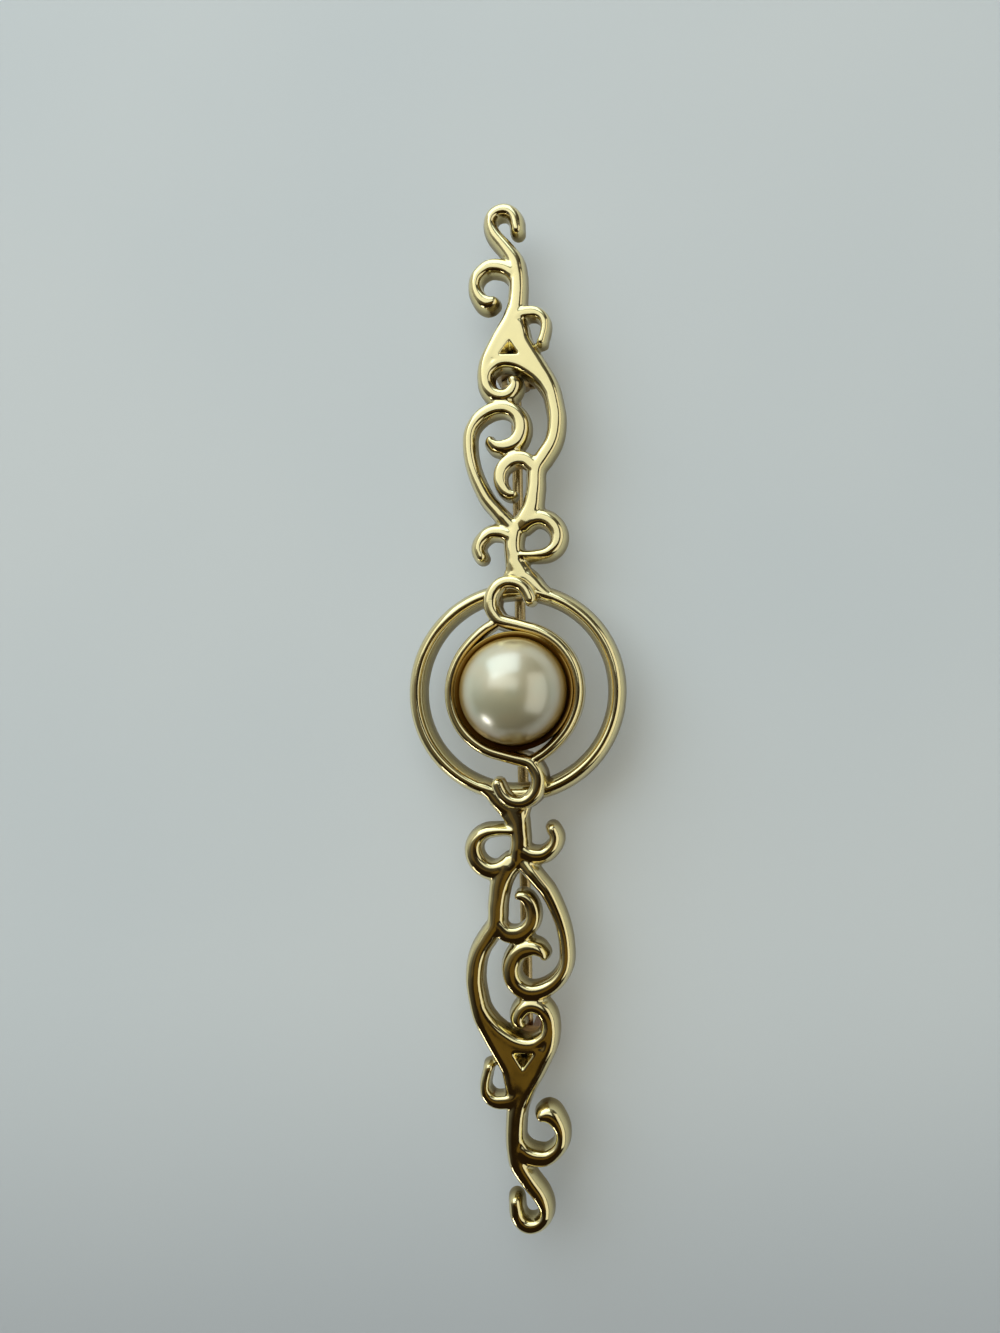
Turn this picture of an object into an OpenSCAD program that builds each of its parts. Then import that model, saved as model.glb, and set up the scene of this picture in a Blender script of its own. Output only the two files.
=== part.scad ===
// Bar brooch in gold-tone cast metal, lying face up on its pin fittings.
// X runs across the bar, Y along it and Z up, with the origin under the middle of the bar.
// The two scroll panels are one casting used twice, turned half a turn about the pearl.

/* [Scrollwork] */
// Square of the drawing grid, measured across the bar
grid_w = 1; // [0.9:0.02:1.14]
// Square of the drawing grid, measured along the bar
grid_l = 1; // [0.9:0.02:1.14]
// Width of a full strand on its flat front
strand_w = 0.8; // [0.6:0.05:1]
// Thickness of the panel castings
panel_t = 1.6; // [1.2:0.1:2.2]
// How far each side wall spreads from the front to the back
draft = 0.42; // [0.2:0.02:0.5]
// How much further a tight curl spreads on its outer side
curl_lean = 0.12; // [0:0.02:0.2]
// Distance from the ring's middle line to the foot line of each panel
panel_set = 0.38; // [0.3:0.02:0.5]

/* [Centre ring] */
// Radius of the ring at the middle of its front edge
ring_r = 7.62; // [7:0.1:9]
// Width of the ring on its front edge
ring_w = 0.42; // [0.3:0.02:0.7]
// Thickness of the ring from front to back
ring_t = 1.6; // [1.2:0.1:2.2]
// How far each side of the ring spreads from the front to the back
ring_draft = 0.5; // [0.2:0.02:0.6]

/* [Pearl and cup] */
// Diameter of the half-round pearl
pearl_d = 8; // [7:0.1:9]
// Height of the pearl's widest line above the front of the panels
pearl_rise = 1; // [0.6:0.1:1.6]
// Depth of the pearl below its widest line
pearl_seat = 0.9; // [0.5:0.1:1.2]
// Clear space round and under the pearl
pearl_gap = 0.12; // [0.05:0.01:0.2]
// Thickness of the cup's wall
cup_wall = 0.32; // [0.25:0.01:0.5]
// Thickness of the cup's floor
cup_floor = 0.5; // [0.3:0.05:0.8]
// Height of the cup's rim above the pearl's widest line
cup_lip = 0.25; // [0.1:0.05:0.5]

/* [S-shaped scroll] */
// Width of the scroll on its rounded front
scroll_w = 0.5; // [0.35:0.05:0.7]
// How far each side of the scroll spreads from the front to the back
scroll_spread = 0.25; // [0.2:0.01:0.3]
// Thickness of the scroll from front to back
scroll_t = 1.55; // [1.2:0.05:2]
// Height of the scroll's front above the front of the panels
scroll_rise = 1.2; // [0.8:0.1:1.6]
// Gap on the front between the cup's rim and the scroll
scroll_gap = 0.1; // [0.05:0.01:0.2]
// Height of the foot of the scroll's hooks above the back of the panels
hook_foot = 0.3; // [0.1:0.05:0.8]
// How far each side of those feet spreads
hook_spread = 0.4; // [0.25:0.05:0.5]

/* [Pin stem] */
// Diameter of the stem wire
stem_d = 0.85; // [0.7:0.05:1]
// Height of the stem's axis above the surface that the brooch lies on
stem_z = 1.5; // [1.35:0.05:1.8]
// Distance from the stem's axis to the back of the panels
stem_drop = 1.95; // [1.9:0.05:2.4]
// Distance from the middle of the bar to the hinge axis
hinge_y = 26.2; // [25.6:0.1:27]
// Distance from the middle of the bar to the stem's point
tip_y = 29.4; // [28.8:0.1:30]
// Length of the ground point
point_l = 3; // [2:0.5:5]
// Diameter of the eye at the hinge
eye_d = 1.9; // [1.6:0.05:2.2]
// Width of the eye along the hinge axis
eye_w = 0.9; // [0.85:0.05:1.1]

/* [Hinge] */
// Diameter of the rivet
rivet_d = 0.7; // [0.5:0.05:0.8]
// Running clearance between the rivet and the eye, on the radius
rivet_clear = 0.04; // [0.02:0.01:0.08]
// Clearance of the rivet in the two ears, on the radius
ear_clear = 0.02; // [0.01:0.01:0.04]
// Thickness of each ear
ear_t = 0.45; // [0.35:0.05:0.7]
// Width of each ear along the bar
ear_l = 2.5; // [2.3:0.1:3]
// Side gap between the eye and each ear
ear_gap = 0.08; // [0.05:0.01:0.15]
// Thickness of the rivet's heads
head_t = 0.25; // [0.2:0.05:0.4]
// Diameter of the rivet's heads
head_d = 1.2; // [1:0.05:1.4]

/* [Catch] */
// Length of the catch's housing along the bar
catch_l = 2.6; // [2.2:0.1:3.2]
// Distance from the middle of the bar to the near end of the housing
catch_y = 25; // [24.6:0.1:25.4]
// Width of the housing across the bar
catch_w = 2.9; // [2.7:0.1:3.4]
// Outer diameter of the turning sleeve
sleeve_d = 1.9; // [1.8:0.05:2.1]
// Running clearance between the sleeve and its housing, on the radius
sleeve_clear = 0.05; // [0.03:0.01:0.08]
// Clearance between the stem and the sleeve's bore, on the radius
stem_clear = 0.06; // [0.04:0.01:0.1]
// Length of the thumb lever from the stem's axis
lever_l = 1.65; // [1.4:0.05:1.7]
// Width of the thumb lever along the bar
lever_t = 0.55; // [0.4:0.05:0.8]
// Thickness of the thumb lever
lever_h = 0.6; // [0.4:0.05:0.8]

/* [Hidden] */

back_z = stem_z + stem_drop;
front_z = back_z + panel_t;
pearl_r = pearl_d / 2;
equator_z = front_z + pearl_rise;
cup_in = pearl_r + pearl_gap;
cup_out = cup_in + cup_wall;
wrap_r = cup_out + scroll_gap + scroll_w / 2;
curve_steps = 3;
overlap = 0.12;
fine = 96;

// Each strand is a chain of curves through rows of
// [across, along, heading in degrees, width as a share of strand_w], in grid squares from the ring.
HOOK = [[0.72, 28.5, 100, 0.55], [0.62, 29.2, 98, 0.62], [-0.35, 30.13, 180, 0.7],
    [-1.4, 29.25, 268, 0.45], [-1.13, 28.3, 297, 0.7], [-0.33, 27.2, 306, 0.8],
    [0.35, 26.2, 301, 0.9], [0.62, 25, 279, 0.95], [0.66, 24, 270, 0.98],
    [0.6, 23, 266, 1], [0.4, 21.8, 256, 1.1], [0.05, 20.6, 250, 1]];
BIG_CURL = [[0.6, 24, 92, 0.9], [-0.15, 25.25, 150, 0.95], [-1.3, 25.52, 180, 0.9],
    [-2.3, 25, 222, 0.62], [-2.68, 24, 270, 0.5], [-2.35, 23.1, 305, 0.7],
    [-1.75, 22.6, 350, 0.9], [-1.35, 22.62, 12, 0.62]];
SMALL_CURL = [[0.1, 20.55, 62, 0.9], [0.55, 21.3, 44, 1], [1.75, 21.6, 0, 0.95], [2.78, 20.6, 270, 0.55],
    [2.6, 19.6, 252, 0.5], [2.45, 19.2, 240, 0.58]];
LEFT_LEG = [[0.25, 21.6, 250, 1], [-1.05, 19.3, 242, 0.9], [-1.72, 18, 245, 0.9],
    [-1.98, 17, 262, 0.8], [-1.95, 16.2, 276, 0.8], [-1.5, 15.3, 315, 0.8],
    [-0.65, 14.97, 0, 0.8], [0.05, 15.35, 55, 0.75], [0.28, 15.9, 95, 0.62],
    [0.15, 16.2, 130, 0.4]];
RIGHT_LEG = [[0.6, 21.6, 276, 0.7], [0.8, 20.4, 284, 0.85], [1.1, 19.2, 297, 0.9], [1.98, 17.6, 299, 0.95],
    [2.8, 16.1, 297, 0.95], [3.34, 14.2, 280, 0.9], [3.47, 13, 268, 0.9],
    [3.1, 11.1, 245, 0.9], [2.34, 9.9, 237, 0.95], [1.87, 9.1, 255, 0.9],
    [1.75, 8, 268, 0.95], [1.62, 7, 262, 1], [1.4, 6, 252, 1.2], [1.1, 5.3, 245, 1.4],
    [0.3, 4.5, 232, 1.2]];
BROW = [[-1.93, 16.1, 94, 0.7], [-1.83, 16.85, 76, 0.75], [-1.3, 17.45, 38, 0.8], [-0.2, 17.75, 355, 0.9],
    [1.1, 17.3, 328, 0.9], [2.33, 16.3, 311, 0.85], [3, 15.2, 292, 0.7],
    [3.3, 14.1, 280, 0.4]];
DROP_CURL = [[1.85, 8.5, 98, 0.8], [1.52, 9.35, 130, 1.1], [0.95, 9.82, 163, 1.2],
    [0.35, 9.88, 184, 1.25],
    [-0.6, 9.35, 225, 1.1], [-0.93, 8.45, 270, 1], [-0.6, 7.5, 310, 0.9],
    [-0.05, 7.12, 350, 0.65], [0.1, 7.12, 5, 0.5]];
LONG_CURL = [[-1.7, 11.5, 280, 0.2], [-1.35, 11.1, 318, 0.62], [-0.5, 10.93, 5, 1.05],
    [0.45, 11.5, 58, 1.05], [0.75, 12.4, 90, 1], [0.35, 13.5, 133, 1],
    [-0.8, 14, 180, 0.95], [-2.25, 13.5, 215, 0.8], [-3.05, 12.6, 240, 0.62],
    [-3.33, 11.3, 270, 0.62], [-2.98, 9, 288, 0.62], [-2.1, 7, 299, 0.7],
    [-1.3, 5.95, 309, 0.75], [0, 4.4, 312, 0.9]];
OPEN_HOOK = [[-0.05, 3.3, 100, 0.75], [-0.6, 4, 150, 0.8], [-1.5, 4.17, 180, 0.8],
    [-2.4, 3.65, 228, 0.62], [-2.7, 2.95, 268, 0.5], [-2.5, 2.3, 290, 0.5]];
EYE_CURL = [[0.6, 4.45, 48, 0.9], [1.93, 5.22, 0, 1], [2.95, 4.76, 315, 0.95],
    [3.4, 3.7, 269, 0.85], [3, 2.78, 223, 0.66], [2.15, 2.38, 187, 0.5],
    [1.15, 2.32, 178, 0.35], [0.5, 2.35, 178, 0.35]];
NECK = [[0.1, 4.9, 270, 1.1], [-0.05, 3.2, 268, 1], [0.05, 2, 272, 1.05],
    [0.4, 0.9, 285, 1.5], [0.75, -0.1, 285, 2]];
COLLAR = [[-0.5, 0.62, 25, 0.6], [0.25, 0.88, 2, 0.9], [0.95, 0.6, 326, 1], [1.45, 0.12, 312, 1],
    [2.1, -0.55, 322, 0.85], [2.8, -0.95, 337, 0.6], [3.4, -1.2, 335, 0.3]];
// Strands with their free end: 0 for the first row, 1 for the last row, -1 for none.
STRANDS = [[HOOK, 0], [BIG_CURL, 1], [SMALL_CURL, 1], [LEFT_LEG, 1], [RIGHT_LEG, -1],
    [BROW, -1], [DROP_CURL, 1], [LONG_CURL, 0], [OPEN_HOOK, 1], [EYE_CURL, 1],
    [NECK, -1], [COLLAR, 1]];
// Corners of the plate between the two legs, of the plate at the ring, and of the triangular
// recess in the first, in grid squares.
WEB = [[0.35, 21.8], [-1.6, 18], [-0.2, 17.7], [1.2, 17.2], [2.5, 16.1], [2.4, 16.8],
    [1.6, 17.9], [0.95, 20]];
FLARE = [[-0.95, 0.4], [-0.4, 1.9], [0.55, 2.3], [1.4, 1.1], [2.2, -0.2], [1.4, -0.7],
    [-0.95, -0.4]];
RECESS = [[0, 19.4], [-0.95, 18.15], [0.8, 18.12]];
// Steps of the drafted walls:
// [top as a share of the thickness, inset as a share of draft, size of the recess as a share].
WALL_STEPS = [[0.42, 0.15, 0.35], [0.74, 0.55, 0.65], [1, 0.95, 1]];
// Upper hook of the S-shaped scroll: [across, along, heading, width as a share of scroll_w],
// with across and along as shares of the span from the wrap to the ring.
SCROLL_HOOK = [[0.47, 0.72, 108, 1.2], [0.28, 1.06, 135, 1.2], [-0.11, 1.2, 180, 1.3],
    [-0.5, 0.96, 236, 1.4], [-0.59, 0.62, 270, 1.4], [-0.43, 0.25, 310, 1.3],
    [-0.07, 0.09, 346, 1.15]];
// Where the scroll follows the cup and then swings out to its other half: [bearing in degrees,
// distance outside the wrap as a share of the span, outward turn in degrees,
// width as a share of scroll_w].
SCROLL_WRAP = [[74, 0, 0, 1.1], [35, 0, 0, 1.1], [0, 0, 0, 1], [-35, 0.01, 3, 0.95],
    [-58, 0.07, 9, 0.9], [-76, 0.18, 12, 0.8]];
// Steps of the scroll's walls: [top as a share of the thickness, inset as a share of its spread].
SCROLL_STEPS = [[0.6, 0.1], [1, 1]];

span = ring_r - wrap_r;
foot_y = ring_r + panel_set;
ear_in = max(eye_w, stem_d) / 2 + ear_gap;
ear_out = ear_in + ear_t;
mouth_w = stem_d + 0.2;
base_t = 0.35;
base_rim = 0.15;
corner = 0.4;
flange_t = 0.3;
flange_d = sleeve_d + 0.5;
end_gap = 0.06;
head_gap = 0.03;

// Curves through rows of [x, y, heading, width], all in millimetres.
function on_grid(rows) =
    [for (r = rows) [r[0] * grid_w, foot_y + r[1] * grid_l, r[2], r[3] * strand_w]];
function turn(a, b) = (b - a + 540) % 360 - 180;
function spot(r) = [r[0], r[1]];
function reach(a, b) =
    let (c = norm(spot(b) - spot(a)), t = turn(a[2], b[2]))
    abs(t) < 1 ? c / 3 : c * 2 / 3 * tan(t / 4) / sin(t / 2);
function handles(a, b) =
    let (h = reach(a, b))
    [spot(a), spot(a) + h * [cos(a[2]), sin(a[2])],
     spot(b) - h * [cos(b[2]), sin(b[2])], spot(b)];
function along(p, s) =
    pow(1 - s, 3) * p[0] + 3 * s * pow(1 - s, 2) * p[1]
    + 3 * s * s * (1 - s) * p[2] + pow(s, 3) * p[3];
function speed(p, s) =
    3 * pow(1 - s, 2) * (p[1] - p[0]) + 6 * s * (1 - s) * (p[2] - p[1])
    + 3 * s * s * (p[3] - p[2]);
function change(p, s) =
    6 * (1 - s) * (p[2] - 2 * p[1] + p[0]) + 6 * s * (p[3] - 2 * p[2] + p[1]);
function bend(v, a) = (v[0] * a[1] - v[1] * a[0]) / pow(norm(v), 3);

// A station is [place, unit vector to the left, half width, bend per millimetre].
function station(a, b, s) =
    let (p = handles(a, b), v = speed(p, s), u = v / norm(v))
    [along(p, s), [-u[1], u[0]], (a[3] * (1 - s) + b[3] * s) / 2, bend(v, change(p, s))];
function stations(rows) = [
    for (i = [0 : len(rows) - 2], k = [0 : curve_steps - 1])
        station(rows[i], rows[i + 1], k / curve_steps),
    station(rows[len(rows) - 2], rows[len(rows) - 1], 1)];

// Distance from the middle line to one edge. side is 1 to the left and -1 to the right, and the
// inner edge of a tight curl stays short of the curl's own centre.
function edge(st, side, spread, lean) =
    let (w = st[2] + spread - side * max(-1, min(1, st[3])) * lean)
    side * st[3] > 0 ? min(w, 0.85 / abs(st[3])) : w;
function outline(rows, spread, lean) =
    let (list = stations(rows))
    concat(
        [for (st = list) st[0] + st[1] * edge(st, 1, spread, lean)],
        [for (i = [len(list) - 1 : -1 : 0]) list[i][0] - list[i][1] * edge(list[i], -1, spread, lean)]);
function middle(points) = [for (p = points) 1] * points / len(points);
function shrink(points, share) = [for (p = points) middle(points) + (p - middle(points)) * share];
function grid_points(points) = [for (p = points) [p[0] * grid_w, foot_y + p[1] * grid_l]];

module strand(rows, free_end, spread, lean) {
    polygon(outline(rows, spread, lean));
    if (free_end >= 0) {
        tip = rows[free_end * (len(rows) - 1)];
        translate([tip[0], tip[1]]) circle(r = tip[3] / 2 + spread, $fn = 24);
    }
}

module panel_layer(step) {
    spread = draft * (1 - step[1]);
    lean = curl_lean * (1 - step[1]);
    difference() {
        union() {
            for (s = STRANDS) strand(on_grid(s[0]), s[1], spread, lean);
            polygon(grid_points(WEB));
            polygon(grid_points(FLARE));
        }
        polygon(shrink(grid_points(RECESS), step[2]));
    }
}

// Stacks layers so that each rises from inside the one below it.
module stack(steps, thickness) {
    for (i = [0 : len(steps) - 1]) {
        low = i == 0 ? 0 : steps[i - 1][0] * thickness - overlap;
        translate([0, 0, low]) linear_extrude(steps[i][0] * thickness - low) children(i);
    }
}

module scroll_panel() {
    stack(WALL_STEPS, panel_t) {
        panel_layer(WALL_STEPS[0]);
        panel_layer(WALL_STEPS[1]);
        panel_layer(WALL_STEPS[2]);
    }
}

module centre_ring() {
    half = ring_w / 2;
    side = [[half + ring_draft, 0], [half + ring_draft * 0.8, ring_t * 0.4],
        [half + ring_draft * 0.3, ring_t * 0.8],
        [half, ring_t]];
    rotate_extrude($fn = fine)
        polygon(concat(
            [for (p = side) [ring_r + p[0], p[1]]],
            [for (i = [3 : -1 : 0]) [ring_r - side[i][0], side[i][1]]]));
}

module scroll_layer(step) {
    hook = [for (r = SCROLL_HOOK) [r[0] * span, wrap_r + r[1] * span, r[2], r[3] * scroll_w]];
    wrap = [for (r = SCROLL_WRAP) let (out = wrap_r + r[1] * span)
        [out * cos(r[0]), out * sin(r[0]), r[0] + 270 + r[2], r[3] * scroll_w]];
    rows = concat(hook, wrap);
    spread = scroll_spread * (1 - step[1]);
    for (a = [0, 180]) rotate(a) strand(rows, 0, spread, 0);
}

module s_scroll() {
    stack(SCROLL_STEPS, scroll_t) {
        scroll_layer(SCROLL_STEPS[0]);
        scroll_layer(SCROLL_STEPS[1]);
    }
}

// The scroll's hooks go on down beside the ring, which they are soldered to.
module hook_feet() {
    rows = [for (i = [1 : len(SCROLL_HOOK) - 1]) let (r = SCROLL_HOOK[i])
        [r[0] * span, wrap_r + r[1] * span, r[2], r[3] * scroll_w * 0.9]];
    linear_extrude(front_z + scroll_rise - scroll_t + overlap - back_z - hook_foot)
        for (a = [0, 180]) rotate(a) strand(rows, 0, hook_spread, 0);
}

// A thin rim that slopes inward to the seat, so that a dark line shows round the pearl.
module pearl_cup() {
    depth = cup_floor + pearl_gap + pearl_seat + cup_lip;
    rim = cup_wall * 0.4;
    translate([0, 0, equator_z + cup_lip - depth])
        rotate_extrude($fn = fine)
            polygon([[0, 0], [cup_out - corner, 0], [cup_out, corner], [cup_out, depth],
                [cup_out - rim, depth], [cup_in, depth - cup_lip], [cup_in, cup_floor],
                [0, cup_floor]]);
}

module bar_x(d, l) {
    rotate([0, 90, 0]) cylinder(d = d, h = l, center = true, $fn = 48);
}

module bar_y(d, l) {
    rotate([-90, 0, 0]) cylinder(d = d, h = l, $fn = 48);
}

// Upright plate profile that stands on a flat with cut corners.
module foot_profile(w, h) {
    polygon([[-w / 2 + corner, 0], [w / 2 - corner, 0], [w / 2, corner], [w / 2, h],
        [-w / 2, h], [-w / 2, corner]]);
}

module base_plate(w, l) {
    translate([-w / 2 - base_rim, -l / 2 - base_rim, back_z - base_t])
        cube([w + 2 * base_rim, l + 2 * base_rim, base_t + overlap]);
}

module hinge_ears() {
    translate([0, -hinge_y, 0]) difference() {
        union() {
            for (side = [-1, 1])
                translate([side * (ear_in + ear_t / 2) - ear_t / 2, 0, 0])
                    rotate([90, 0, 90]) linear_extrude(ear_t)
                        foot_profile(ear_l, back_z - base_t / 2);
            base_plate(2 * ear_out, ear_l);
        }
        translate([0, 0, stem_z]) bar_x(rivet_d + 2 * ear_clear, 4 * ear_out);
    }
}

module catch_housing() {
    neck = catch_w * 0.6;
    shoulder = stem_z + sleeve_d * 0.35;
    top = back_z - base_t / 2;
    translate([0, catch_y + catch_l, 0]) rotate([90, 0, 0]) linear_extrude(catch_l)
        difference() {
            union() {
                foot_profile(catch_w, shoulder);
                polygon([[-catch_w / 2, shoulder - overlap], [catch_w / 2, shoulder - overlap],
                    [catch_w / 2, shoulder], [neck / 2, top], [-neck / 2, top],
                    [-catch_w / 2, shoulder]]);
            }
            translate([0, stem_z]) circle(d = sleeve_d + 2 * sleeve_clear, $fn = 48);
            translate([-mouth_w / 2, -overlap]) square([mouth_w, stem_z + overlap]);
        }
    translate([0, catch_y + catch_l / 2, 0]) base_plate(neck, catch_l - 2 * base_rim);
}

module scroll_frame() {
    color([0.8, 0.69, 0.44]) {
        translate([0, 0, back_z]) {
            scroll_panel();
            rotate(180) scroll_panel();
            centre_ring();
        }
        translate([0, 0, front_z + scroll_rise - scroll_t]) s_scroll();
        translate([0, 0, back_z + hook_foot]) hook_feet();
        pearl_cup();
        hinge_ears();
        catch_housing();
    }
}

module pearl() {
    color([0.94, 0.9, 0.82]) translate([0, 0, equator_z]) difference() {
        union() {
            sphere(r = pearl_r, $fn = fine);
            translate([0, 0, -pearl_seat]) cylinder(r = pearl_r - pearl_gap / 2, h = pearl_seat, $fn = fine);
        }
        translate([0, 0, -pearl_r - pearl_seat]) cube(2 * pearl_r + 2, center = true);
    }
}

module pin_stem() {
    reach_y = hinge_y + tip_y;
    color([0.78, 0.66, 0.42]) translate([0, -hinge_y, stem_z]) difference() {
        union() {
            bar_x(eye_d, eye_w);
            rotate([-90, 0, 0]) rotate_extrude($fn = 48)
                polygon([[0, 0], [stem_d / 2, 0], [stem_d / 2, reach_y - point_l],
                    [stem_d / 8, reach_y], [0, reach_y]]);
        }
        bar_x(rivet_d + 2 * rivet_clear, eye_w + 1);
    }
}

module hinge_rivet() {
    color([0.7, 0.6, 0.4]) translate([0, -hinge_y, stem_z]) {
        bar_x(rivet_d, 2 * (ear_out + head_gap) + head_t);
        for (side = [-1, 1])
            translate([side * (ear_out + head_gap + head_t / 2), 0, 0]) bar_x(head_d, head_t);
    }
}

// Lies open, with its slot down, so that the stem can leave it.
module catch_sleeve() {
    near = catch_y - end_gap - lever_t;
    far = catch_y + catch_l + end_gap;
    color([0.72, 0.62, 0.4]) translate([0, 0, stem_z]) difference() {
        union() {
            translate([0, near + lever_t / 2, 0]) bar_y(sleeve_d, far - near - lever_t / 2 + flange_t / 2);
            translate([0, near + lever_t, 0]) rotate([90, 0, 0]) linear_extrude(lever_t) {
                circle(d = flange_d, $fn = 48);
                translate([0, -lever_h / 2]) square([lever_l, lever_h]);
            }
            translate([0, far, 0]) bar_y(flange_d, flange_t);
        }
        translate([0, far + 2, 0]) rotate([90, 0, 0]) linear_extrude(far - near + 4) {
            circle(d = stem_d + 2 * stem_clear, $fn = 48);
            translate([-stem_d / 2 - stem_clear * 0.75, -flange_d]) square([stem_d + stem_clear * 1.5, flange_d]);
        }
    }
}

scroll_frame();
pearl();
pin_stem();
hinge_rivet();
catch_sleeve();
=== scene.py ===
"""Bar brooch: openwork scroll panels, a ring, an S-shaped scroll round a pearl, and pin fittings.

Sizes are in millimetres and headings in degrees. X runs across the bar, Y along it and Z up out of
its face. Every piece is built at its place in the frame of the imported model.
"""
import math

import bmesh
import bpy
from mathutils import Matrix, Vector


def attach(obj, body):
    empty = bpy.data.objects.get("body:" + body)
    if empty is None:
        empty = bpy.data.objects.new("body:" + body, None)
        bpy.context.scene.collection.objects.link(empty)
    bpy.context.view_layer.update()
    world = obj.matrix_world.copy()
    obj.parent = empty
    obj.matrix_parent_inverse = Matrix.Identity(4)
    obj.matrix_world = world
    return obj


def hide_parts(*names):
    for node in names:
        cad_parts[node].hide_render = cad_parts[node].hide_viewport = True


MM = 0.001

# Panels and ring
STRAND_W = 0.8
PANEL_T = 1.6
RING_R = 7.62
RING_W = 0.42
# From the ring's middle line out to the place that a panel's rows are counted from
PANEL_SET = 0.38
# How far each side spreads from the front to the back, on the strands and on the ring
DRAFT = 0.42
RING_DRAFT = 0.5
# How far a bend of 1 mm radius shifts the foot of its walls outwards
CURL_LEAN = 0.12
# Share of a tight curl's radius at which the section on its inside stops
CURL_CORE = 0.85
# How far the web and the flare lie below the front
WEB_DISH = 0.01
FLARE_DISH = 0.2
# Size of the flare's foot as a share of its front
FLARE_FOOT = 1.1
# How far a strand's hidden end dips into the strand that it joins, as a share of its thickness,
# and how many stations the dip takes
END_DIP = 0.07
DIP_STATIONS = 4
# Degrees round a free end, from its last station towards its tip
CAP_TURNS = (30, 55, 75, 87)
# How often the bends along a strand are evened out, and over how many stations to each side
BEND_PASSES = 2
BEND_REACH = 3

# Pearl, cup and S-shaped scroll
PEARL_R = 4
PEARL_RISE = 1
PEARL_SEAT = 0.9
PEARL_GAP = 0.12
CUP_WALL = 0.32
CUP_FLOOR = 0.5
CUP_LIP = 0.25
SCROLL_W = 0.5
SCROLL_SPREAD = 0.25
SCROLL_T = 1.55
SCROLL_RISE = 1.2
SCROLL_GAP = 0.1
# Foot that joins each hook of the scroll to the ring: its height above the panels' back, the spread
# of its sides, its width as a share of the scroll's, and how far it reaches up into the scroll
HOOK_FOOT = 0.3
HOOK_SPREAD = 0.4
HOOK_SHARE = 0.9
HOOK_REACH = 0.3

# Section of the cup's rim: down its outside (in from the cup's outside, down from the rim's top),
# then at its lip (out from the lip, down from the rim's top), which closes in on the pearl
RIM_OUTSIDE = ((0, 0.1), (0.03, 0.03), (0.09, 0), (0.15, 0.03))
RIM_LIP = ((0.03, 0.27), (0, 0.33), (0.02, 0.4))
LIP_GAP = 0.04
# How far down the rim ends inside the cup, and the rounding of the cup's floor
RIM_DEPTH = 0.5
FLOOR_EDGE = 0.05
# The pearl's cut lower edge, how far below its equator its straight side ends, and the degrees
# at which its dome starts and that each of its bands takes
PEARL_EDGE = 0.1
PEARL_SIDE = 0.55
DOME_START = -6
DOME_STEP = 3

# Pin fittings
STEM_R = 0.425
STEM_Z = 1.5
HINGE_Y = -26.2
TIP_Y = 29.4
POINT_L = 3
# Where the wire starts inside its eye, and the length of its bands, from the hinge on
SHANK_START = 0.5
SHANK_STEP = 4
# Ground point of the stem: (share of its radius, distance from its tip)
POINT = (
    (1, POINT_L + 0.3), (0.97, POINT_L - 0.3), (0.62, POINT_L / 2), (0.3, 0.35), (0.15, 0.04),
    (0, 0))
EYE_R = 0.95
EYE_W = 0.9
# Rounding of the eye: on its outside (in from its radius, in from its side), and in its hole
EYE_ROUND = ((0.15, 0), (0.04, 0.05), (0, 0.16))
EYE_EASE = 0.06
RIVET_R = 0.35
RIVET_BORE = 0.39
EAR_BORE = 0.37
EAR_IN = 0.53
EAR_T = 0.45
EAR_L = 2.5
HEAD_R = 0.6
HEAD_T = 0.25
HEAD_GAP = 0.03
# Dome of a rivet's head: (share of its radius, distance from its top)
HEAD_DOME = ((0, 0), (0.6, 0.02), (0.9, 0.08), (1, 0.17))
CATCH_Y = 25
CATCH_L = 2.6
CATCH_W = 2.9
# Width of the housing's neck as a share of CATCH_W, and the height of its shoulder above the
# stem as a share of SLEEVE_R
NECK_SHARE = 0.6
SHOULDER_SHARE = 0.7
SLEEVE_R = 0.95
SLEEVE_BORE = 0.485
HOUSING_BORE = 1
MOUTH_W = 1.05
SLOT_W = 0.94
FLANGE_R = 1.2
FLANGE_T = 0.3
# Cut edges of the sleeve's flanges, outside and towards the housing
FLANGE_EDGE = 0.08
INNER_EDGE = 0.05
END_GAP = 0.06
LEVER_L = 1.65
LEVER_T = 0.55
LEVER_H = 0.6
# Where the lever starts inside its flange, and how far it stands back from both its faces
LEVER_START = 0.2
LEVER_INSET = 0.04
BASE_T = 0.35
BASE_RIM = 0.15
CORNER = 0.4
# How far a soldered foot sinks into what it is soldered to
SINK = 0.1
# Soft edges of the hinge, the catch and the sleeve's lever
HINGE_EDGE = 0.07
CATCH_EDGE = 0.06
LEVER_EDGE = 0.14
# How far a cutter reaches past what it cuts
OVERSHOOT = 1

# Grain of the remeshed castings, and how often each is smoothed
PIT_VOXEL = 0.08
PANEL_VOXEL = 0.081
PANEL_PASSES = 5
SCROLL_VOXEL = 0.06
SCROLL_PASSES = 4
# Stations from one row of a scroll to the next
SCROLL_STEPS = 10
# Degrees between faces, over which an edge is softened, and over which it is shaded as an edge
SOFTEN_ANGLE = 35
SHADE_ANGLE = 40

# Heights above the surface that the brooch lies on
BACK_Z = 3.45
FRONT_Z = BACK_Z + PANEL_T
EQUATOR_Z = FRONT_Z + PEARL_RISE
SCROLL_Z = FRONT_Z + SCROLL_RISE

CUP_IN = PEARL_R + PEARL_GAP
CUP_OUT = CUP_IN + CUP_WALL
WRAP_R = CUP_OUT + SCROLL_GAP + SCROLL_W / 2
SPAN = RING_R - WRAP_R
FOOT_Y = RING_R + PANEL_SET

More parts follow.
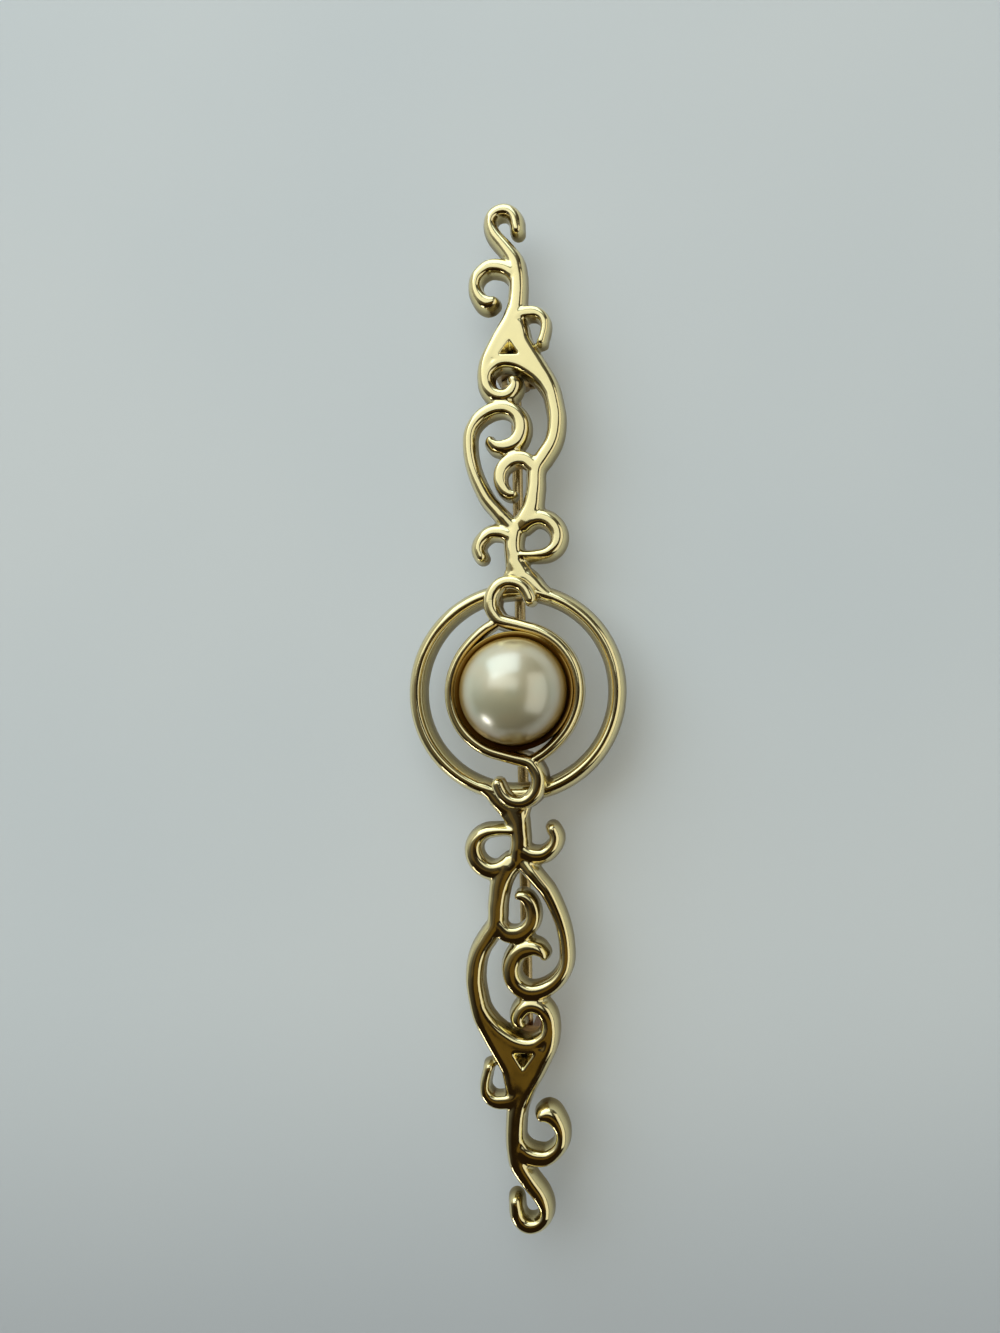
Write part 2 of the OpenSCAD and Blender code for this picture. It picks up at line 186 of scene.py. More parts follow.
# Each strand is a chain of curves through rows of
# (across, along, heading, width as a share of STRAND_W), along counted from FOOT_Y.
HOOK = (
    (0.72, 28.5, 100, 0.55), (0.62, 29.2, 98, 0.62), (-0.35, 30.13, 180, 0.7),
    (-1.4, 29.25, 268, 0.45), (-1.13, 28.3, 297, 0.7), (-0.33, 27.2, 306, 0.8),
    (0.35, 26.2, 301, 0.9), (0.62, 25, 279, 0.95), (0.66, 24, 270, 0.98),
    (0.6, 23, 266, 1), (0.4, 21.8, 256, 1.1), (0.05, 20.6, 250, 1))
BIG_CURL = (
    (0.6, 24, 92, 0.9), (-0.15, 25.25, 150, 0.95), (-1.3, 25.52, 180, 0.9),
    (-2.3, 25, 222, 0.62), (-2.68, 24, 270, 0.5), (-2.35, 23.1, 305, 0.7),
    (-1.75, 22.6, 350, 0.9), (-1.35, 22.62, 12, 0.62))
SMALL_CURL = (
    (0.1, 20.55, 62, 0.9), (0.55, 21.3, 44, 1), (1.75, 21.6, 0, 0.95), (2.78, 20.6, 270, 0.55),
    (2.6, 19.6, 252, 0.5), (2.45, 19.2, 240, 0.58))
LEFT_LEG = (
    (0.55, 22.6, 258, 0.8), (0.25, 21.6, 250, 1), (-1.05, 19.3, 242, 0.9), (-1.72, 18, 245, 0.9),
    (-1.98, 17, 262, 0.8), (-1.95, 16.2, 276, 0.8), (-1.5, 15.3, 315, 0.8),
    (-0.65, 14.97, 0, 0.8), (0.05, 15.35, 55, 0.75), (0.28, 15.9, 95, 0.62),
    (0.15, 16.2, 130, 0.4))
RIGHT_LEG = (
    (0.6, 21.6, 276, 0.7), (0.8, 20.4, 284, 0.85), (1.1, 19.2, 297, 0.9),
    (1.98, 17.6, 299, 0.95), (2.8, 16.1, 297, 0.95), (3.34, 14.2, 280, 0.9), (3.47, 13, 268, 0.9),
    (3.1, 11.1, 245, 0.9), (2.34, 9.9, 237, 0.95), (1.87, 9.1, 255, 0.9),
    (1.75, 8, 268, 0.95), (1.62, 7, 262, 1), (1.4, 6, 252, 1.2), (1.1, 5.3, 245, 1.4),
    (0.3, 4.5, 232, 1.2))
BROW = (
    (-1.93, 16.1, 94, 0.7), (-1.83, 16.85, 76, 0.75), (-1.3, 17.45, 38, 0.8),
    (-0.2, 17.75, 355, 0.9), (1.1, 17.3, 328, 0.9), (2.33, 16.3, 311, 0.85), (3, 15.2, 292, 0.7),
    (3.3, 14.1, 280, 0.4))
DROP_CURL = (
    (1.85, 8.5, 98, 0.8), (1.52, 9.35, 130, 1.1), (0.95, 9.82, 163, 1.2), (0.35, 9.88, 184, 1.25),
    (-0.6, 9.35, 225, 1.1), (-0.93, 8.45, 270, 1), (-0.6, 7.5, 310, 0.9),
    (-0.05, 7.12, 350, 0.65), (0.1, 7.12, 5, 0.5))
LONG_CURL = (
    (-1.7, 11.5, 280, 0.2), (-1.35, 11.1, 318, 0.62), (-0.5, 10.93, 5, 1.05),
    (0.45, 11.5, 58, 1.05), (0.75, 12.4, 90, 1), (0.35, 13.5, 133, 1),
    (-0.8, 14, 180, 0.95), (-2.25, 13.5, 215, 0.8), (-3.05, 12.6, 240, 0.62),
    (-3.33, 11.3, 270, 0.62), (-2.98, 9, 288, 0.62), (-2.1, 7, 299, 0.7),
    (-1.3, 5.95, 309, 0.75), (0, 4.4, 312, 0.9))
OPEN_HOOK = (
    (-0.05, 3.3, 100, 0.75), (-0.6, 4, 150, 0.8), (-1.5, 4.17, 180, 0.8),
    (-2.4, 3.65, 228, 0.62), (-2.7, 2.95, 268, 0.5), (-2.5, 2.3, 290, 0.5))
EYE_CURL = (
    (0.6, 4.45, 48, 0.9), (1.93, 5.22, 0, 1), (2.95, 4.76, 315, 0.95),
    (3.4, 3.7, 269, 0.85), (3, 2.78, 223, 0.66), (2.15, 2.38, 187, 0.5),
    (1.15, 2.32, 178, 0.35), (0.5, 2.35, 178, 0.35))
NECK = (
    (0.1, 4.9, 270, 1.1), (-0.05, 3.2, 268, 1), (0.05, 2, 272, 1.05),
    (0.4, 0.9, 285, 1.5), (0.75, -0.1, 285, 2))
COLLAR = (
    (-0.5, 0.62, 25, 0.6), (0.25, 0.88, 2, 0.9), (0.95, 0.6, 326, 1), (1.45, 0.12, 312, 1),
    (2.1, -0.55, 322, 0.85), (2.8, -0.95, 337, 0.6), (3.4, -1.2, 335, 0.3))
# Each strand, the end that is free ("start", "end" or None), and its share of the draft
STRANDS = (
    (HOOK, "start", 1), (BIG_CURL, "end", 1), (SMALL_CURL, "end", 0.55), (LEFT_LEG, "end", 1),
    (RIGHT_LEG, None, 1), (BROW, None, 1), (DROP_CURL, "end", 0.45), (LONG_CURL, "start", 0.9),
    (OPEN_HOOK, "end", 1), (EYE_CURL, "end", 1), (NECK, None, 1), (COLLAR, "end", 1))
# Corners of the web between the two legs, of the flare at the ring and of the web's pit, as
# (across, along)
WEB = (
    (0.35, 21.8), (-1.6, 18), (-0.2, 17.7), (1.2, 17.2), (2.5, 16.1), (2.4, 16.8), (1.6, 17.9),
    (0.95, 20))
FLARE = (
    (-0.95, 0.4), (-0.4, 1.9), (0.55, 2.3), (1.4, 1.1), (2.2, -0.2), (1.4, -0.7), (-0.95, -0.4))
PIT = ((0, 19.4), (-0.95, 18.15), (0.8, 18.12))
# Outline of the pit at each height, as (share of its corners' distance from its middle, height)
PIT_LEVELS = (
    (0.12, BACK_Z - 0.2), (0.3, BACK_Z + 0.75), (0.95, FRONT_Z - WEB_DISH), (1.3, FRONT_Z + 0.4))

# Upper hook of the S-shaped scroll: (across, along, heading, width as a share of SCROLL_W),
# with across and along as shares of the span from the wrap to the ring
SCROLL_HOOK = (
    (0.47, 0.72, 108, 1.2), (0.28, 1.06, 135, 1.2), (-0.11, 1.2, 180, 1.3),
    (-0.5, 0.96, 236, 1.4), (-0.59, 0.62, 270, 1.4), (-0.43, 0.25, 310, 1.3),
    (-0.07, 0.09, 346, 1.15))
# Where the scroll follows the cup and then swings out to its other half: (bearing, distance
# outside the wrap as a share of the span, outward turn, width as a share of SCROLL_W)
SCROLL_WRAP = (
    (74, 0, 0, 1.1), (35, 0, 0, 1.1), (0, 0, 0, 1), (-35, 0.01, 3, 0.95), (-58, 0.07, 9, 0.9),
    (-76, 0.18, 12, 0.8))

# Section of one side of a strand, from the foot of its drafted wall to the middle of its crowned
# front: (share of the half width, share of the spread, share of the thickness)
WALL = (
    (1, 1, 0), (1, 0.96, 0.2), (1, 0.86, 0.42), (1, 0.7, 0.62), (1, 0.48, 0.8), (1, 0.27, 0.9),
    (1, 0.1, 0.95), (0.88, 0, 0.972), (0.6, 0, 0.99), (0.3, 0, 0.998))
# Section of the foot under a hook
FOOT_WALL = (
    (1, 1, 0), (1, 0.93, 0.35), (1, 0.78, 0.7), (1, 0.55, 0.96), (0.6, 0.3, 1), (0.3, 0, 1))
# Section of the S-shaped scroll, which is rounder
ROUND_WALL = (
    (1, 1, 0), (1, 0.97, 0.3), (1, 0.87, 0.55), (1, 0.65, 0.76), (1, 0.35, 0.89),
    (0.97, 0.05, 0.945), (0.75, 0, 0.978), (0.35, 0, 0.997))

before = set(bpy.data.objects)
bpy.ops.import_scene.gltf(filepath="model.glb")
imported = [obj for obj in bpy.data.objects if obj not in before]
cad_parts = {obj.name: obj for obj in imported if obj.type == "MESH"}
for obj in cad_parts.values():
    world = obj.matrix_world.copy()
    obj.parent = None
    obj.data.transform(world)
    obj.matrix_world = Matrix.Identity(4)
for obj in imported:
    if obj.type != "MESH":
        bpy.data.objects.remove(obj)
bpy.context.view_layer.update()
scene = bpy.context.scene
scene.view_settings.view_transform = "Standard"


# ---- Curves -----------------------------------------------------------------------------------

def turn(a, b):
    """The shorter way from one heading to another."""
    return (b - a + 540) % 360 - 180


def heading_vector(heading):
    return Vector((math.cos(math.radians(heading)), math.sin(math.radians(heading))))


def handles(a, b):
    """The four control points of the curve from one row to the next."""
    start, end = Vector(a[:2]), Vector(b[:2])
    chord, swing = (end - start).length, turn(a[2], b[2])
    reach = chord / 3
    if abs(swing) >= 1:
        reach = chord * 2 / 3 * math.tan(math.radians(swing / 4)) / math.sin(math.radians(swing / 2))
    return start, start + reach * heading_vector(a[2]), end - reach * heading_vector(b[2]), end


def stations(rows, steps):
    """Places along a strand, each as (place, direction, vector to the left, half width, bend)."""
    found = []
    for a, b in zip(rows, rows[1:]):
        p = handles(a, b)
        last = b is rows[-1]
        for i in range(steps + last):
            s = i / steps
            r = 1 - s
            place = r**3 * p[0] + 3 * r * r * s * p[1] + 3 * r * s * s * p[2] + s**3 * p[3]
            speed = 3 * r * r * (p[1] - p[0]) + 6 * r * s * (p[2] - p[1]) + 3 * s * s * (p[3] - p[2])
            change = 6 * r * (p[2] - 2 * p[1] + p[0]) + 6 * s * (p[3] - 2 * p[2] + p[1])
            ahead = speed.normalized()
            bend = (speed.x * change.y - speed.y * change.x) / speed.length**3
            found.append([place, ahead, Vector((-ahead.y, ahead.x)), (a[3] * r + b[3] * s) / 2, bend])
    for _ in range(BEND_PASSES):
        bends = [station[4] for station in found]
        for i, station in enumerate(found):
            near = bends[max(0, i - BEND_REACH):i + BEND_REACH + 1]
            station[4] = sum(near) / len(near)
    return found


def edge_reach(half, bend, side, spread, lean):
    """Distance from the middle line to a point of the section, short of a tight curl's centre."""
    reach = half + spread - side * max(-1, min(1, bend)) * lean
    if side * bend > 0:
        reach = min(reach, CURL_CORE / abs(bend))
    return reach


def section_ring(station, wall, spread, lean, low, thickness, cap=0, way=1):
    """Points of the section at one station, up the left wall and down the right one. With cap
    above 0 it is a ring of the round end, that many degrees round towards the tip."""
    place, ahead, left, half, bend = station
    out, over = math.cos(math.radians(cap)), math.sin(math.radians(cap))
    ring = []
    for side, levels in ((1, wall), (-1, tuple(reversed(wall)))):
        for across, share, rise in levels:
            reach = edge_reach(half * across, bend, side, share * spread, share * lean)
            tip = half * across + share * spread
            spot = place + left * side * reach * out + ahead * way * tip * over
            ring.append(Vector((spot.x, spot.y, low + rise * thickness)) * MM)
    return ring


# ---- Modelling --------------------------------------------------------------------------------

def deselect():
    if bpy.context.object and bpy.context.object.mode != "OBJECT":
        bpy.ops.object.mode_set(mode="OBJECT")
    bpy.ops.object.select_all(action="DESELECT")


def select_only(*objects):
    deselect()
    for obj in objects:
        obj.select_set(True)
    bpy.context.view_layer.objects.active = objects[0]


def loft(rings):
    """A closed bar, extruded from ring to ring."""
    deselect()
    bpy.ops.mesh.primitive_circle_add(vertices=len(rings[0]), radius=MM, fill_type="NGON")
    bar = bpy.context.object
    bpy.ops.object.mode_set(mode="EDIT")
    for number, ring in enumerate(rings):
        if number:
            bpy.ops.mesh.extrude_region_move()
        bm = bmesh.from_edit_mesh(bar.data)
        end = next(face for face in bm.faces if face.select)
        for vertex, place in zip(end.verts, ring):
            vertex.co = place
        bmesh.update_edit_mesh(bar.data)
    bpy.ops.mesh.select_all(action="SELECT")
    bpy.ops.mesh.normals_make_consistent(inside=False)
    bpy.ops.object.mode_set(mode="OBJECT")
    return bar


def strand(rows, free_end, wall, spread, lean, low, thickness, steps=6):
    """A drafted strand along the rows, with a round end where it is free."""
    line = stations(rows, steps)
    hidden = [end for end, side in ((0, "start"), (len(line) - 1, "end")) if side != free_end]
    rings = []
    for i, spot in enumerate(line):
        dip = END_DIP * max(0, *(1 - abs(i - end) / DIP_STATIONS for end in hidden))
        rings.append(section_ring(spot, wall, spread, lean, low, thickness * (1 - dip)))
    if free_end == "end":
        rings += [section_ring(line[-1], wall, spread, 0, low, thickness, cap) for cap in CAP_TURNS]
    if free_end == "start":
        rings = [section_ring(line[0], wall, spread, 0, low, thickness, cap, -1)
                 for cap in reversed(CAP_TURNS)] + rings
    return loft(rings)


def join(pieces, name):
    select_only(*pieces)
    if len(pieces) > 1:
        bpy.ops.object.join()
    whole = bpy.context.object
    whole.name = name
    return whole


def apply_modifier(piece, kind, **settings):
    select_only(piece)
    modifier = piece.modifiers.new(kind.title(), kind)
    for key, value in settings.items():
        setattr(modifier, key, value)
    bpy.ops.object.modifier_apply(modifier=modifier.name)


def fuse(piece, voxel, smoothing):
    """Makes overlapping castings one skin with soft corners."""
    apply_modifier(piece, "REMESH", mode="VOXEL", voxel_size=voxel * MM)
    apply_modifier(piece, "SMOOTH", factor=0.5, iterations=smoothing)


def cut(piece, cutter):
    apply_modifier(piece, "BOOLEAN", operation="DIFFERENCE", object=cutter, solver="MANIFOLD")
    bpy.data.objects.remove(cutter)


def add(piece, other):
    apply_modifier(piece, "BOOLEAN", operation="UNION", object=other, solver="MANIFOLD")
    bpy.data.objects.remove(other)


def spin_profile(points, axis="Z", place=(0, 0, 0), steps=128):
    """A turned shape: the closed profile of (radius, height) points goes once round the axis.
    Where the profile runs along the axis, what collapses there is welded and cleared away."""
    deselect()
    bpy.ops.mesh.primitive_circle_add(vertices=len(points), radius=MM)
    turned = bpy.context.object
    bpy.ops.object.mode_set(mode="EDIT")
    bm = bmesh.from_edit_mesh(turned.data)
    bm.verts.ensure_lookup_table()
    for vertex, (radius, height) in zip(bm.verts, points):
        vertex.co = Vector((radius, 0, height)) * MM
    bmesh.update_edit_mesh(turned.data)
    bpy.ops.mesh.select_all(action="SELECT")
    bpy.ops.mesh.spin(steps=steps, angle=math.tau, center=(0, 0, 0), axis=(0, 0, 1))
    bpy.ops.mesh.select_all(action="SELECT")
    bpy.ops.mesh.remove_doubles(threshold=0.001 * MM)
    bpy.ops.mesh.delete_loose(use_verts=True, use_edges=True, use_faces=False)
    bpy.ops.mesh.select_all(action="SELECT")
    bpy.ops.mesh.normals_make_consistent(inside=False)
    bpy.ops.object.mode_set(mode="OBJECT")
    lay = {"Z": Matrix.Identity(4), "X": Matrix.Rotation(math.pi / 2, 4, "Y"),
           "Y": Matrix.Rotation(-math.pi / 2, 4, "X")}[axis]
    turned.matrix_world = Matrix.Translation(Vector(place) * MM) @ lay
    bpy.ops.object.transform_apply(location=True, rotation=True, scale=True)
    return turned


def prism(profile, start, length, axis="X"):
    """A flat profile of (u, z) points, extruded along X (u is Y) or along Y (u is X)."""
    rings = []
    for reach in (start, start + length):
        places = [(reach, u, z) if axis == "X" else (u, reach, z) for u, z in profile]
        rings.append([Vector(place) * MM for place in places])
    return loft(rings)


def block(low, high):
    """A box from its lowest to its highest corner."""
    deselect()
    centre = [(a + b) / 2 * MM for a, b in zip(low, high)]
    edges = [(b - a) * MM for a, b in zip(low, high)]
    bpy.ops.mesh.primitive_cube_add(size=1, location=centre, scale=edges)
    bpy.ops.object.transform_apply(location=True, rotation=True, scale=True)
    return bpy.context.object


def soften(piece, width, segments=3):
    apply_modifier(piece, "BEVEL", width=width * MM, segments=segments, limit_method="ANGLE",
                   angle_limit=math.radians(SOFTEN_ANGLE), harden_normals=False)


def finish_piece(piece, name, material, body, slot, *nodes):
    """Names, smooths and paints a piece, and lets it ride on its body in place of its nodes."""
    select_only(piece)
    piece.name = name
    piece.data.name = name
    bpy.ops.object.shade_smooth_by_angle(angle=math.radians(SHADE_ANGLE))
    piece.data.materials.clear()
    piece.data.materials.append(material)
    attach(piece, body)
    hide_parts(*nodes)


# ---- Finishes ---------------------------------------------------------------------------------

# The part of a noise's range that it mostly stays in
NOISE_LOW = 0.3
NOISE_HIGH = 0.7


def shader(name):
    material = bpy.data.materials.new(name)
    material.use_nodes = True
    nodes, links = material.node_tree.nodes, material.node_tree.links
    return material, nodes, links, nodes["Principled BSDF"]


def noise_node(nodes, links, scale, detail=3, roughness=0.5):
    """Noise over the object's own coordinates. The scale is in features for each millimetre."""
    spots = nodes.new("ShaderNodeTexCoord")
    noise = nodes.new("ShaderNodeTexNoise")
    noise.inputs["Scale"].default_value = scale / MM
    noise.inputs["Detail"].default_value = detail
    noise.inputs["Roughness"].default_value = roughness
    links.new(spots.outputs["Object"], noise.inputs["Vector"])
    return noise


def ramp_node(nodes, links, source, *stops):
    ramp = nodes.new("ShaderNodeValToRGB")
    ends = ramp.color_ramp.elements
    while len(ends) < len(stops):
        ends.new(0.5)
    for stop, (place, colour) in zip(ends, stops):
        stop.position = place
        stop.color = (*colour, 1)
    links.new(source, ramp.inputs["Fac"])
    return ramp


def range_node(nodes, links, source, low, high):
    """Spreads a noise, which stays near its middle, over the whole way from low to high."""
    spread = nodes.new("ShaderNodeMapRange")
    spread.inputs["From Min"].default_value = NOISE_LOW
    spread.inputs["From Max"].default_value = NOISE_HIGH
    spread.inputs["To Min"].default_value = low
    spread.inputs["To Max"].default_value = high
    links.new(source, spread.inputs["Value"])
    return spread


def axis_share(nodes, links, axis, low, high, place=None):
    """Goes softly from 0 to 1 between two places along an axis, both in millimetres. The place is
    the object's own unless another is given."""
    if place is None:
        place = nodes.new("ShaderNodeTexCoord").outputs["Object"]
    parts = nodes.new("ShaderNodeSeparateXYZ")
    links.new(place, parts.inputs["Vector"])
    share = nodes.new("ShaderNodeMapRange")
    share.interpolation_type = "SMOOTHSTEP"
    share.inputs["From Min"].default_value = low * MM
    share.inputs["From Max"].default_value = high * MM
    links.new(parts.outputs[axis], share.inputs["Value"])
    return share


def bump_node(nodes, links, source, strength, height, below=None):
    """Bump of a height in millimetres, on top of the bump below."""
    bump = nodes.new("ShaderNodeBump")
    bump.inputs["Strength"].default_value = strength
    bump.inputs["Distance"].default_value = height * MM
    links.new(source.outputs["Fac"], bump.inputs["Height"])
    if below is not None:
        links.new(below.outputs["Normal"], bump.inputs["Normal"])
    return bump


def blend_colours(nodes, links, share, low, high):
    """Mixes two colours, each a constant or the output of a node."""
    mix = nodes.new("ShaderNodeMix")
    mix.data_type = "RGBA"
    links.new(share, mix.inputs["Factor"])
    for socket, colour in (("A", low), ("B", high)):
        if isinstance(colour, tuple):
            mix.inputs[socket].default_value = (*colour, 1)
        else:
            links.new(colour, mix.inputs[socket])
    return mix


# Roughness of the metal where it is least polished, and the depth of its fine wear
WALL_ROUGHNESS = 0.32
WEAR_DEPTH = 0.002


def gold(name, pale, deep, wall, shine, dull, ripple, foot, front):
    """Polished gold-tone metal. Its colour drifts between pale and deep, its roughness between
    shine and dull, and it has the soft ripple of a casting with fine wear on top. From the height
    of its front down to its foot it is less polished, so its walls are duller, and its colour goes
    over to the wall colour: painted shade that darkens the walls and the gaps between parts."""
    material, nodes, links, metal = shader(name)
    metal.inputs["Metallic"].default_value = 1
    drift = noise_node(nodes, links, 0.35)
    tint = ramp_node(nodes, links, drift.outputs["Fac"], (0.35, pale), (0.65, deep))
    rise = axis_share(nodes, links, "Z", foot, front)
    # Painted shade: below the front the colour goes over to the darker wall colour.
    colour = blend_colours(nodes, links, rise.outputs["Result"], wall, tint.outputs["Color"])
    links.new(colour.outputs["Result"], metal.inputs["Base Color"])
    wear = noise_node(nodes, links, 1.6, detail=6, roughness=0.65)
    polish = range_node(nodes, links, wear.outputs["Fac"], shine, dull)
    rough = nodes.new("ShaderNodeMix")
    rough.inputs["A"].default_value = WALL_ROUGHNESS
    links.new(rise.outputs["Result"], rough.inputs["Factor"])
    links.new(polish.outputs["Result"], rough.inputs["B"])
    links.new(rough.outputs["Result"], metal.inputs["Roughness"])
    soft = bump_node(nodes, links, noise_node(nodes, links, 0.55, detail=1), 1, ripple)
    grain = noise_node(nodes, links, 9, detail=2)
    fine = bump_node(nodes, links, grain, 0.35, WEAR_DEPTH, soft)
    links.new(fine.outputs["Normal"], metal.inputs["Normal"])
    return material


# Painted golden reflection of the cup on the pearl: how far above the equator it starts and
# ends, and how it leans (degrees)
CUP_REFLECTION_LOW = 1.2
CUP_REFLECTION_HIGH = 2.7
CUP_REFLECTION_LEAN = (5, -5, 0)
# Depth of the pearl's skin
SKIN_DEPTH = 0.006


def pearl_finish():
    """Nacre: cream body colour with a pinkish and greenish drift, a painted golden reflection of the
    cup round its lower edge, and a clear lustrous coat."""
    material, nodes, links, nacre = shader("pearl_nacre")
    cloud = noise_node(nodes, links, 0.22, detail=2)
    tint = ramp_node(nodes, links, cloud.outputs["Fac"], (0.3, (0.69, 0.59, 0.38)),
                     (0.5, (0.68, 0.61, 0.4)), (0.7, (0.58, 0.61, 0.44)))
    spots = nodes.new("ShaderNodeTexCoord")
    lean = nodes.new("ShaderNodeMapping")
    lean.inputs["Location"].default_value = (0, 0, -EQUATOR_Z * MM)
    lean.inputs["Rotation"].default_value = [math.radians(angle) for angle in CUP_REFLECTION_LEAN]
    links.new(spots.outputs["Object"], lean.inputs["Vector"])
    # Painted reflection: near the cup the pearl goes over to golden brown, as if it mirrored the
    # gold.
    cup_reflection_band = axis_share(nodes, links, "Z", CUP_REFLECTION_LOW, CUP_REFLECTION_HIGH, lean.outputs["Vector"])
    colour = blend_colours(nodes, links, cup_reflection_band.outputs["Result"], (0.4, 0.22, 0.014),
                           tint.outputs["Color"])
    links.new(colour.outputs["Result"], nacre.inputs["Base Color"])
    nacre.inputs["Roughness"].default_value = 0.3
    nacre.inputs["Metallic"].default_value = 0.25
    nacre.inputs["Coat Weight"].default_value = 1
    nacre.inputs["Coat Roughness"].default_value = 0.24
    nacre.inputs["Coat IOR"].default_value = 2.4
    skin = bump_node(nodes, links, noise_node(nodes, links, 1.2, detail=3), 0.5, SKIN_DEPTH)
    links.new(skin.outputs["Normal"], nacre.inputs["Normal"])
    return material


# Where along the bar the painted shade on the paper is deepest, and from where on the paper is
# unshaded
PAPER_SHADE_DEEPEST_Y = -62
PAPER_UNSHADED_Y = -18


def paper():
    """Matt paper with a faint cloudiness, and painted shade that greys it towards the hinge end."""
    material, nodes, links, sheet = shader("paper")
    cloud = noise_node(nodes, links, 0.02, detail=2)
    tint = ramp_node(nodes, links, cloud.outputs["Fac"], (0.35, (0.725, 0.775, 0.83)),
                     (0.65, (0.765, 0.805, 0.85)))
    along = axis_share(nodes, links, "Y", PAPER_SHADE_DEEPEST_Y, PAPER_UNSHADED_Y)
    # Painted shade: the paper darkens towards the hinge end, for the shade that falls over that end.
    tone = blend_colours(nodes, links, along.outputs["Result"], (0.5, 0.53, 0.58),
                         tint.outputs["Color"])
    links.new(tone.outputs["Result"], sheet.inputs["Base Color"])
    sheet.inputs["Roughness"].default_value = 0.85
    return material


# ---- Pieces -----------------------------------------------------------------------------------

def on_grid(rows):
    """A panel's rows in millimetres."""
    return [(x, FOOT_Y + y, heading, width * STRAND_W) for x, y, heading, width in rows]


def flat_points(points, share, z):
    """The corners at a height, drawn in towards their middle."""
    middle = Vector((sum(p[0] for p in points), sum(p[1] for p in points))) / len(points)
    spots = [middle + (Vector(p) - middle) * share for p in points]
    return [Vector((p.x, p.y + FOOT_Y, z)) * MM for p in spots]


def panel():
    """The upper scroll panel: its strands, web and flare in one skin, with the web's pit."""
    parts = [strand(on_grid(rows), free, WALL, DRAFT * share, CURL_LEAN, BACK_Z, PANEL_T)
             for rows, free, share in STRANDS]
    parts.append(loft([flat_points(WEB, 1, BACK_Z), flat_points(WEB, 1, FRONT_Z - WEB_DISH)]))
    parts.append(loft([flat_points(FLARE, FLARE_FOOT, BACK_Z),
                       flat_points(FLARE, 1, FRONT_Z - FLARE_DISH)]))
    whole = join(parts, "scroll_panel")
    apply_modifier(whole, "REMESH", mode="VOXEL", voxel_size=PIT_VOXEL * MM)
    cut(whole, loft([flat_points(PIT, share, z) for share, z in PIT_LEVELS]))
    fuse(whole, PANEL_VOXEL, PANEL_PASSES)
    return whole


def turned_copy(piece):
    """A copy with its own mesh, turned half a turn about the middle of the brooch."""
    select_only(piece)
    bpy.ops.object.duplicate(linked=False)
    copy = bpy.context.object
    copy.rotation_euler = (0, 0, math.pi)
    bpy.ops.object.transform_apply(location=True, rotation=True, scale=True)
    return copy


def centre_ring():
    half = RING_W / 2
    out = [(RING_R + half * across + share * RING_DRAFT, BACK_Z + rise * PANEL_T)
           for across, share, rise in WALL]
    inside = [(2 * RING_R - r, z) for r, z in reversed(out)]
    return spin_profile(out + inside, steps=192)


def s_scroll():
    """Both halves of the S-shaped scroll, with the feet under their hooks, in one skin."""
    hook = [(x * SPAN, WRAP_R + y * SPAN, heading, width * SCROLL_W)
            for x, y, heading, width in SCROLL_HOOK]
    wrap = []
    for bearing, outside, swing, width in SCROLL_WRAP:
        spot = heading_vector(bearing) * (WRAP_R + outside * SPAN)
        wrap.append((spot.x, spot.y, bearing + 270 + swing, width * SCROLL_W))
    low = BACK_Z + HOOK_FOOT
    under = SCROLL_Z - SCROLL_T
    narrow = [(x, y, heading, width * HOOK_SHARE) for x, y, heading, width in hook[1:]]
    hook_foot = strand(narrow, "start", FOOT_WALL, HOOK_SPREAD, 0, low, under + HOOK_REACH - low,
                       SCROLL_STEPS)
    scroll = strand(hook + wrap, "start", ROUND_WALL, SCROLL_SPREAD, 0, under, SCROLL_T,
                    SCROLL_STEPS)
    half = join([scroll, hook_foot], "scroll_half")
    whole = join([half, turned_copy(half)], "s_scroll")
    fuse(whole, SCROLL_VOXEL, SCROLL_PASSES)
    return whole


def pearl_cup():
    """Bowl with a rim that closes in on the pearl."""
    top = EQUATOR_Z + CUP_LIP
    floor = EQUATOR_Z - PEARL_SEAT - PEARL_GAP
    base = floor - CUP_FLOOR
    bowl = [(0, base), (CUP_OUT - CORNER, base), (CUP_OUT - CORNER / 3, base + CORNER / 3),
            (CUP_OUT, base + CORNER)]
    rim = [(CUP_OUT - inwards, top - down) for inwards, down in RIM_OUTSIDE]
    lip = [(PEARL_R + LIP_GAP + outwards, top - down) for outwards, down in RIM_LIP]
    inside = [(CUP_IN, top - RIM_DEPTH), (CUP_IN, floor + FLOOR_EDGE),
              (CUP_IN - FLOOR_EDGE, floor), (0, floor)]
    return spin_profile(bowl + rim + lip + inside, steps=160)


def half_pearl():
    seat = EQUATOR_Z - PEARL_SEAT
    girth = PEARL_R - PEARL_GAP / 2
    side = [(0, seat), (girth - PEARL_EDGE, seat), (girth, seat + PEARL_EDGE),
            (girth, EQUATOR_Z - PEARL_SIDE)]
    turns = [math.radians(angle) for angle in range(DOME_START, 90, DOME_STEP)]
    dome = [(PEARL_R * math.cos(a), EQUATOR_Z + PEARL_R * math.sin(a)) for a in turns]
    return spin_profile(side + dome + [(0, EQUATOR_Z + PEARL_R)])


def foot(width, height, u0=0):
    """Upright outline that stands on a flat with cut corners."""
    half = width / 2
    return [(u0 - half + CORNER, 0), (u0 + half - CORNER, 0), (u0 + half, CORNER),
            (u0 + half, height), (u0 - half, height), (u0 - half, CORNER)]


def base_plate(y, width, length):
    """Plate that solders a fitting to the back of a panel."""
    half, reach = width / 2 + BASE_RIM, length / 2 + BASE_RIM
    return block((-half, y - reach, BACK_Z - BASE_T), (half, y + reach, BACK_Z + SINK))


def drill(radius, start, end, axis, y=0, steps=32):
    """A round bar at the stem's height, to bore with. It reaches past its start and its end."""
    start, end = start - OVERSHOOT, end + OVERSHOOT
    return spin_profile(((0, start), (radius, start), (radius, end), (0, end)), axis,
                        (0, y, STEM_Z), steps)


